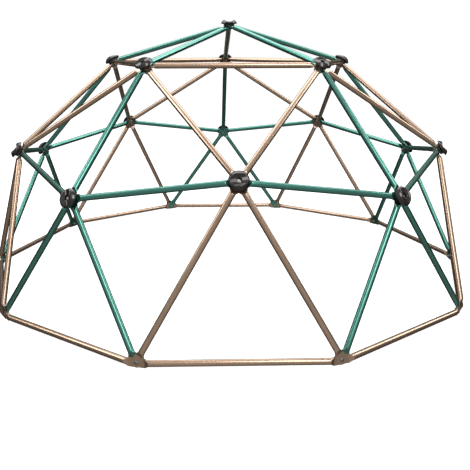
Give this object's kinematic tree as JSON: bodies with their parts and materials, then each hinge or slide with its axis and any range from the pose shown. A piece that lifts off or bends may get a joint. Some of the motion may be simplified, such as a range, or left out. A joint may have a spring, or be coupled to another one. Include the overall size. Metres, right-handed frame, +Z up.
{
  "type": "geodesic dome climber",
  "caption": "Half-sphere climbing frame of crushed-end steel tubes in triangles, bolted together at hubs with moulded grip caps, standing on a ring of ground tubes.",
  "frame": {"origin": "on the ground, at the centre of the ring of ground tubes", "axes": "+Z up along the dome's own axis through the crown hub; the middle of a ground tube faces -Y, and one ground hub lies on +X"},
  "size_m": [3.0731, 2.9614, 1.5996],
  "materials": {
    "green_powder_coat": "glossy green powder coat",
    "bronze_powder_coat": "satin bronze powder coat",
    "cap_plastic": "moulded near-black brown plastic",
    "zinc_plate": "bright zinc plate"
  },
  "bodies": {
    "root": {"crown_strut_1": "green_powder_coat", "crown_strut_2": "green_powder_coat", "crown_strut_3": "green_powder_coat", "crown_strut_4": "green_powder_coat", "crown_strut_5": "green_powder_coat", "shoulder_strut_1": "bronze_powder_coat", "shoulder_strut_2": "bronze_powder_coat", "shoulder_strut_3": "bronze_powder_coat", "shoulder_strut_4": "bronze_powder_coat", "shoulder_strut_5": "bronze_powder_coat", "upper_rib_1": "green_powder_coat", "upper_rib_2": "green_powder_coat", "upper_rib_3": "green_powder_coat", "upper_rib_4": "green_powder_coat", "upper_rib_5": "green_powder_coat", "upper_brace_1": "bronze_powder_coat", "upper_brace_2": "bronze_powder_coat", "upper_brace_3": "bronze_powder_coat", "upper_brace_4": "bronze_powder_coat", "upper_brace_5": "bronze_powder_coat", "upper_brace_6": "bronze_powder_coat", "upper_brace_7": "bronze_powder_coat", "upper_brace_8": "bronze_powder_coat", "upper_brace_9": "bronze_powder_coat", "upper_brace_10": "bronze_powder_coat", "waist_strut_1": "green_powder_coat", "waist_strut_2": "green_powder_coat", "waist_strut_3": "green_powder_coat", "waist_strut_4": "green_powder_coat", "waist_strut_5": "green_powder_coat", "waist_strut_6": "green_powder_coat", "waist_strut_7": "green_powder_coat", "waist_strut_8": "green_powder_coat", "waist_strut_9": "green_powder_coat", "waist_strut_10": "green_powder_coat", "bronze_leg_pair_1": "bronze_powder_coat", "bronze_leg_pair_2": "bronze_powder_coat", "bronze_leg_pair_3": "bronze_powder_coat", "bronze_leg_pair_4": "bronze_powder_coat", "bronze_leg_pair_5": "bronze_powder_coat", "green_leg_pair_1": "green_powder_coat", "green_leg_pair_2": "green_powder_coat", "green_leg_pair_3": "green_powder_coat", "green_leg_pair_4": "green_powder_coat", "green_leg_pair_5": "green_powder_coat", "base_strut_1": "bronze_powder_coat", "base_strut_2": "bronze_powder_coat", "base_strut_3": "bronze_powder_coat", "base_strut_4": "bronze_powder_coat", "base_strut_5": "bronze_powder_coat", "base_strut_6": "bronze_powder_coat", "base_strut_7": "bronze_powder_coat", "base_strut_8": "bronze_powder_coat", "base_strut_9": "bronze_powder_coat", "base_strut_10": "bronze_powder_coat", "hub_caps": "cap_plastic", "hub_bolts": "zinc_plate", "base_bolts": "zinc_plate", "washers": "zinc_plate", "lock_nuts": "zinc_plate"}
  },
  "joints": []
}
